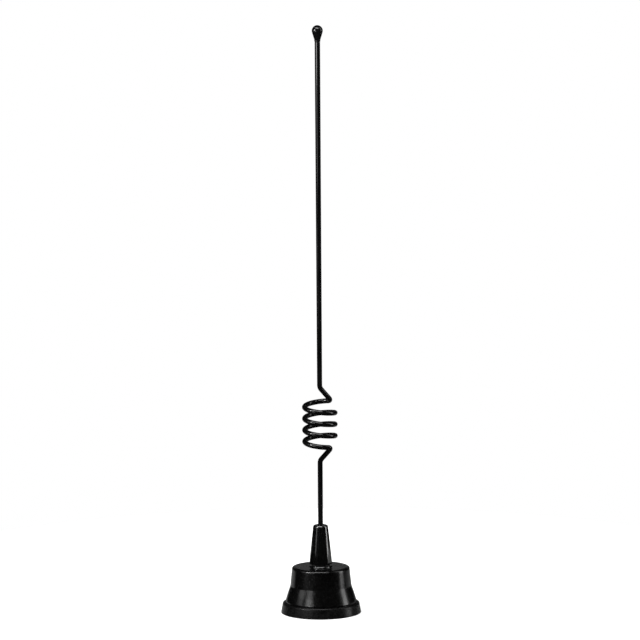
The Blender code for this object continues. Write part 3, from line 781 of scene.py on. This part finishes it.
def make_threaded_ring():
    """A brass ring with the mount's thread inside and a lip above it."""
    low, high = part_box("threaded_ring")
    lead_in, edge, lip = 0.5 * MM, 0.2 * MM, 12.6 * MM
    lip_foot = high.z - 1.0 * MM
    outline = [(MOUNT_MAJOR + lead_in, low.z)]
    outline += rounded([
        (MOUNT_MAJOR + lead_in, low.z), (high.x, low.z, edge), (high.x, high.z, edge),
        (lip, high.z),
    ], 4)[1:-1]
    outline += [(lip, high.z), (lip, lip_foot), (MOUNT_MAJOR, lip_foot)]
    outline += finer([(MOUNT_MAJOR, lip_foot), (MOUNT_MAJOR, low.z + lead_in)], 0.1 * MM)[1:]
    reshape = threaded(
        low.z + lead_in, lip_foot - 0.1 * MM, MOUNT_MAJOR, MOUNT_MINOR, MOUNT_PITCH, 0.0,
    )
    stand_in(lathe("threaded_ring_turned", outline, ROUND, reshape, 28.0), "threaded_ring")


def make_contact_pin():
    low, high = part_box("contact_pin")
    shank, shoulder, spigot = 1.5 * MM, 2.0 * MM, 1.1 * MM
    seat = low.z + 3.9 * MM
    seat_top = seat + 1.0 * MM
    edge, end = 0.1 * MM, 0.3 * MM
    outline = rounded([
        (0.0, low.z), (shank, low.z, end), (shank, seat), (shoulder, seat, edge),
        (shoulder, seat_top, edge), (spigot, seat_top), (spigot, high.z, end), (0.0, high.z),
    ])
    stand_in(lathe("contact_pin_turned", outline, SMALL_ROUND), "contact_pin")


def make_contact_sleeve():
    """A blind sleeve held in the disc between its head and a rivet ring, with a post on top."""
    low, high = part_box("contact_sleeve")
    disc_low, disc_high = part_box("base_disc")
    wall, lip, head, rivet, post = 3.0 * MM, 1.8 * MM, high.x, 3.9 * MM, 0.8 * MM
    cavity, cavity_foot, cavity_top = 2.3 * MM, 7.1 * MM, 14.2 * MM
    gap, edge, roof = 0.3 * MM, 0.3 * MM, 15.0 * MM
    head_top, rivet_foot = disc_low.z - gap, disc_high.z + gap
    head_foot, rivet_top = head_top - 0.7 * MM, rivet_foot + 0.6 * MM
    outline = rounded([
        (0.0, cavity_top), (cavity, cavity_top), (cavity, cavity_foot), (lip, cavity_foot),
        (lip, low.z, 0.15 * MM), (wall, low.z, edge), (wall, head_foot), (head, head_foot, edge),
        (head, head_top), (wall, head_top), (wall, rivet_foot), (rivet, rivet_foot),
        (rivet, rivet_top, edge), (wall, rivet_top), (wall, roof, edge), (post, roof),
        (post, high.z, 0.2 * MM), (0.0, high.z),
    ], 5)
    stand_in(lathe("contact_sleeve_turned", outline, SMALL_ROUND), "contact_sleeve")


def make_contact_spring():
    """A spring in the sleeve, closed at both ends, wound to fill the CAD node's box."""
    low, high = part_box("contact_spring")
    wire, ring = 0.2 * MM, 1.75 * MM  # radii
    closed, turns, per_turn = 1.0, 5.5, 48  # closed turns at each end, turns in all
    steps = round(turns * per_turn)
    top, foot = high.z - wire, low.z + wire
    shut = 2.1 * wire  # pitch of a closed turn
    open_pitch = (top - foot - 2.0 * closed * shut) / (turns - 2.0 * closed)
    path, height = [], top
    for step in range(steps + 1):
        turn = step / per_turn
        angle = TURN * turn
        path.append((ring * math.cos(angle), ring * math.sin(angle), height))
        middle = turn + 0.5 / per_turn
        pitch = shut if min(middle, turns - middle) < closed else open_pitch
        height -= pitch / per_turn
    spring = stand_in(tube("contact_spring_wound", path, [wire] * len(path), 12), "contact_spring")
    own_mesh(spring)


# ---------------------------------------------------------------- floor and light


def make_floor():
    """A round pale floor, a hair below the gasket's foot, which the antenna doesn't reflect."""
    radius, drop = 300.0 * MM, 0.1 * MM
    mesh = bpy.data.meshes.new("floor")
    shape = bmesh.new()
    bmesh.ops.create_circle(shape, cap_ends=True, segments=96, radius=radius)
    bmesh.ops.translate(shape, verts=shape.verts, vec=(0.0, 0.0, -drop))
    shape.to_mesh(mesh)
    shape.free()
    floor = bpy.data.objects.new("floor", mesh)
    scene.collection.objects.link(floor)
    finish = Finish("floor", grey(0.86), 0.7)
    finish.tint(finish.spread(finish.noise(40.0), 0.0, 1.0), grey(0.85), grey(0.88))
    mesh.materials.append(finish.material)
    floor.visible_glossy = False


def make_light(name, azimuths, heights, distance, radiance):
    """An upright soft box that faces the antenna between two azimuths and two heights.

    Azimuths are in degrees: 0 is in front, 90 on the right.
    """
    azimuth = math.radians(sum(azimuths) / 2)
    level = sum(heights) / 2
    width = 2.0 * distance * math.tan(math.radians(azimuths[1] - azimuths[0]) / 2)
    place = (math.sin(azimuth) * distance, -math.cos(azimuth) * distance, level)
    make_panel(
        name, place, (0.0, 0.0, level), width, heights[1] - heights[0], radiance,
    )


def make_panel(name, place, target, width, height, radiance):
    """A rectangular lamp of an even radiance, unseen by the camera itself."""
    data = bpy.data.lights.new(name, "AREA")
    data.shape = "RECTANGLE"
    data.size, data.size_y = width, height
    data.energy = radiance * math.pi * width * height
    lamp = bpy.data.objects.new(name, data)
    scene.collection.objects.link(lamp)
    lamp.location = place
    away = Vector(place) - Vector(target)
    lamp.rotation_euler = away.to_track_quat("Z", "Y").to_euler()
    lamp.visible_camera = False


def make_lights():
    """Soft boxes placed for the highlights that they leave on the black surfaces."""
    near, far, below = 0.7, 5.0, (-0.25, -0.012)
    # the two bright strips down the left of the flared skirt, and the dark gap between
    make_light("left_outer", (-86.0, -66.0), (0.2, 0.36), near, 1.45)
    make_light("left_inner", (-50.0, -33.0), (0.2, 0.36), near, 1.15)
    make_light("left_gap", (-66.0, -50.0), (0.235, 0.36), near, 0.1)
    # the tip ball's side and the skirt's foot
    make_light("left_high", (-86.0, -34.0), (0.36, 0.66), near, 1.1)
    # the whip's left side, brightest near the top and fading downwards
    make_light("left_bright", (-50.0, -28.0), (0.195, 0.235), near, 11.0)
    make_light("left_soft", (-50.0, -30.0), (0.13, 0.195), near, 3.0)
    make_light("left_low", (-84.0, -34.0), (0.11, 0.2), near, 0.3)
    # the left side of the ferrule and the drum
    make_light("left_foot", (-66.0, -52.0), (0.04, 0.10), near, 1.5)
    # glints on the tip ball, the ferrule's top, the flange and the rims
    make_panel("left_hot", (-0.62, -0.355, 0.54), (0.0, 0.0, 0.3), 0.13, 0.15, 62.0)
    # the strip down the right of the ferrule and the housing, then its rounded edges
    make_light("right_low", (80.0, 98.0), (-0.2, 1.2), far, 4.7)
    make_light("right_high", (81.0, 99.0), (1.2, 8.5), far, 3.0)
    # the outline's left and right edges, then the flat top faces
    make_light("behind_left", (-165.0, -118.0), below, 0.4, 0.45)
    make_light("behind_right", (108.0, 165.0), below, 0.4, 0.26)
    make_light("behind", (163.0, 197.0), (0.15, 0.42), 1.4, 0.16)
    # all that faces up and forward: the ball, the fillets and the gasket's shoulder
    make_panel("overhead", (-0.12, -0.42, 1.3), (0.0, 0.0, 0.1), 1.15, 0.42, 9.5)


def make_surroundings():
    """A white room that the antenna reflects only as a dim grey."""
    world = bpy.data.worlds.new("studio")
    scene.world = world
    world.use_nodes = True
    nodes, links = world.node_tree.nodes, world.node_tree.links
    nodes.clear()
    seen, reflected_grey = (1.0, 1.0, 1.0, 1.0), (*grey(0.002), 1.0)
    output = nodes.new("ShaderNodeOutputWorld")
    mix = nodes.new("ShaderNodeMixShader")
    path = nodes.new("ShaderNodeLightPath")
    room = nodes.new("ShaderNodeBackground")
    room.inputs["Color"].default_value = seen
    reflected = nodes.new("ShaderNodeBackground")
    reflected.inputs["Color"].default_value = reflected_grey
    links.new(path.outputs["Is Glossy Ray"], mix.inputs["Fac"])
    links.new(room.outputs[0], mix.inputs[1])
    links.new(reflected.outputs[0], mix.inputs[2])
    links.new(mix.outputs[0], output.inputs["Surface"])
    scene.view_settings.view_transform = "Standard"


def make_camera():
    """A long lens from the front and a little above, at the photograph's angle."""
    distance, elevation, roll = 5.0, math.radians(9.8), math.radians(0.38)
    aim = Vector((0.00045, 0.0, 0.1638))
    data = bpy.data.cameras.new("camera")
    data.sensor_width = 36.0
    data.lens = 511.0
    data.clip_end = 50.0
    camera = bpy.data.objects.new("camera", data)
    scene.collection.objects.link(camera)
    away = Vector((0.0, -math.cos(elevation), math.sin(elevation)))
    camera.location = aim + away * distance
    facing = away.to_track_quat("Z", "Y").to_matrix().to_4x4()
    place = Matrix.Translation(camera.location)
    camera.matrix_world = place @ facing @ Matrix.Rotation(-roll, 4, "Z")
    scene.camera = camera


def main():
    make_whip()
    make_tip_ball()
    make_ferrule()
    make_set_screw("set_screw_lower")
    make_set_screw("set_screw_upper")
    make_top_stud()
    make_ferrule_seal()
    make_housing()
    make_roof_gasket()
    make_threaded_ring()
    make_contact_pin()
    make_contact_sleeve()
    make_contact_spring()
    for node, item in frame["nodes"].items():
        item.data.materials.clear()
        item.data.materials.append(FINISHES[SLOTS[node]])
    make_floor()
    make_lights()
    make_surroundings()
    make_camera()


main()
